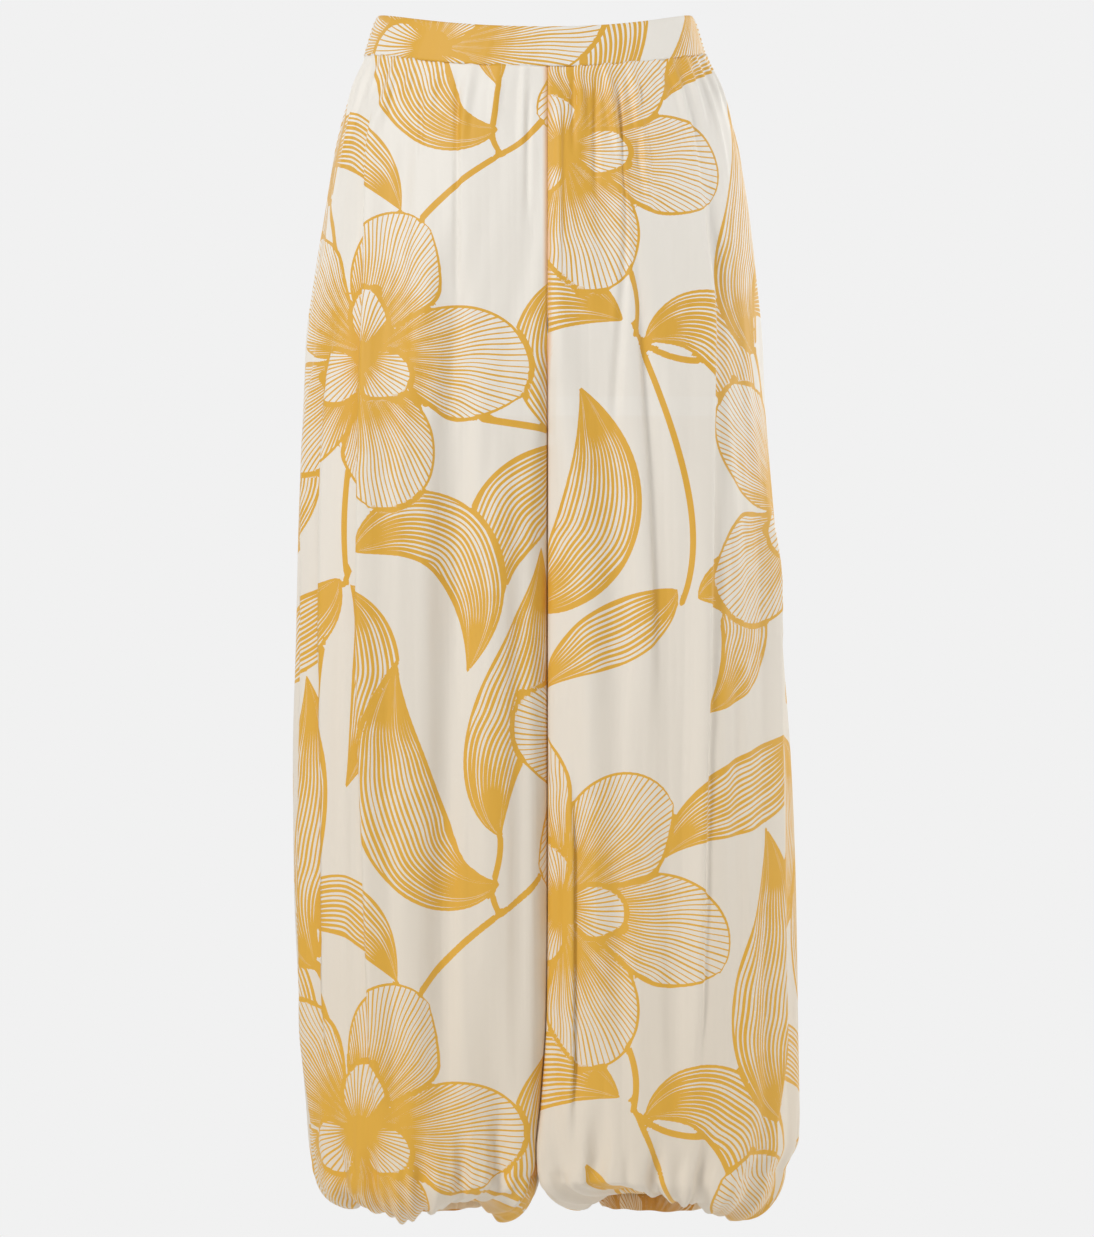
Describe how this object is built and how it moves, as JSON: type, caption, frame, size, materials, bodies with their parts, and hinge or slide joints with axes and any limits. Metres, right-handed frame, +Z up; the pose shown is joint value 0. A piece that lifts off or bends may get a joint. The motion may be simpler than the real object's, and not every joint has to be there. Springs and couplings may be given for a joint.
{
  "type": "balloon trousers",
  "caption": "Full-length balloon trousers in printed cloth, worn and filled out, with a narrow waistband and legs gathered onto elastic hems.",
  "frame": {"origin": "centre of the waist ring, about half way up the waistband at the side seams", "axes": "+Z up out of the waist, -Y to the front, +X to the wearer's left"},
  "size_m": [0.4399, 0.2649, 1.0459],
  "materials": {
    "leg_cloth": "ivory crepe with a gold line print, soft sheen",
    "waistband_cloth": "the same printed crepe, backed and pressed flat",
    "hem_casing_cloth": "the same printed crepe, ruched by the elastic inside"
  },
  "bodies": {
    "root": {"leg_left_front": "leg_cloth", "leg_left_back": "leg_cloth", "leg_right_front": "leg_cloth", "leg_right_back": "leg_cloth", "waistband_front": "waistband_cloth", "waistband_back": "waistband_cloth", "hem_casing_left": "hem_casing_cloth", "hem_casing_right": "hem_casing_cloth"}
  },
  "joints": []
}
